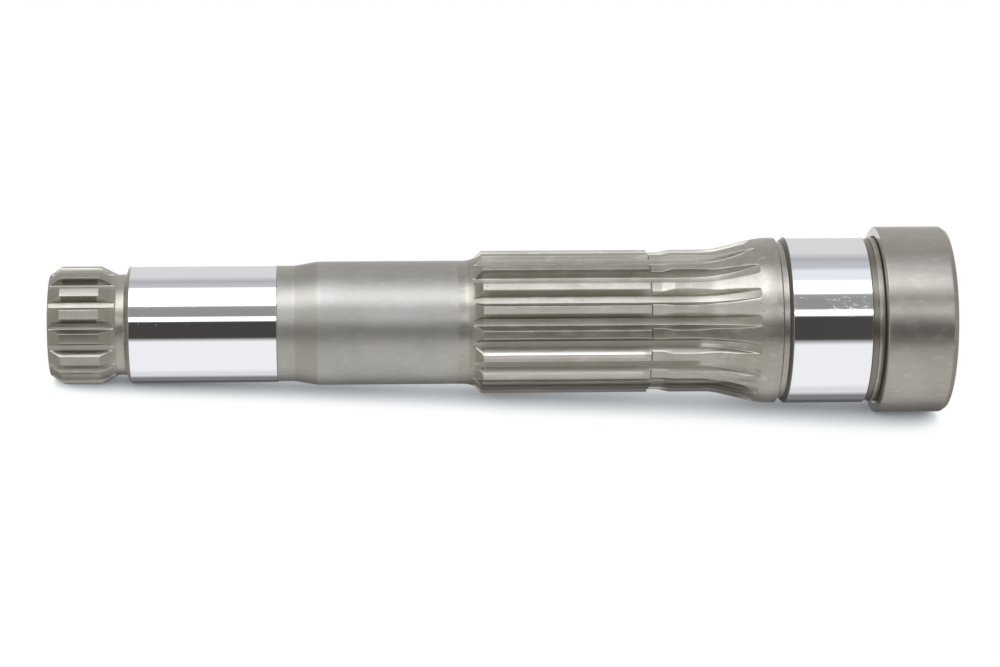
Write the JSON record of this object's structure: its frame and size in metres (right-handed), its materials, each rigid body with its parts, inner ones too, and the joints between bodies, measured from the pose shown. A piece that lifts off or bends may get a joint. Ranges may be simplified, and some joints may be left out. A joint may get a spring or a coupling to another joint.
{
  "type": "machine shaft",
  "caption": "One-piece splined drive shaft with ground bearing journals, a hobbed main spline that runs up a flare, an end spline and a shoulder collar.",
  "frame": {"origin": "centre of the collar's flat end face, on which the shaft stands", "axes": "+Z along the shaft's axis, from the collar towards the end spline; +X through the middle of a main spline tooth"},
  "size_m": [0.056, 0.056, 0.2681],
  "materials": {
    "shaft_steel": "heat-treated tan-grey steel, fine turned, with two mirror-ground journals"
  },
  "bodies": {
    "root": {"shaft": "shaft_steel"}
  },
  "joints": []
}
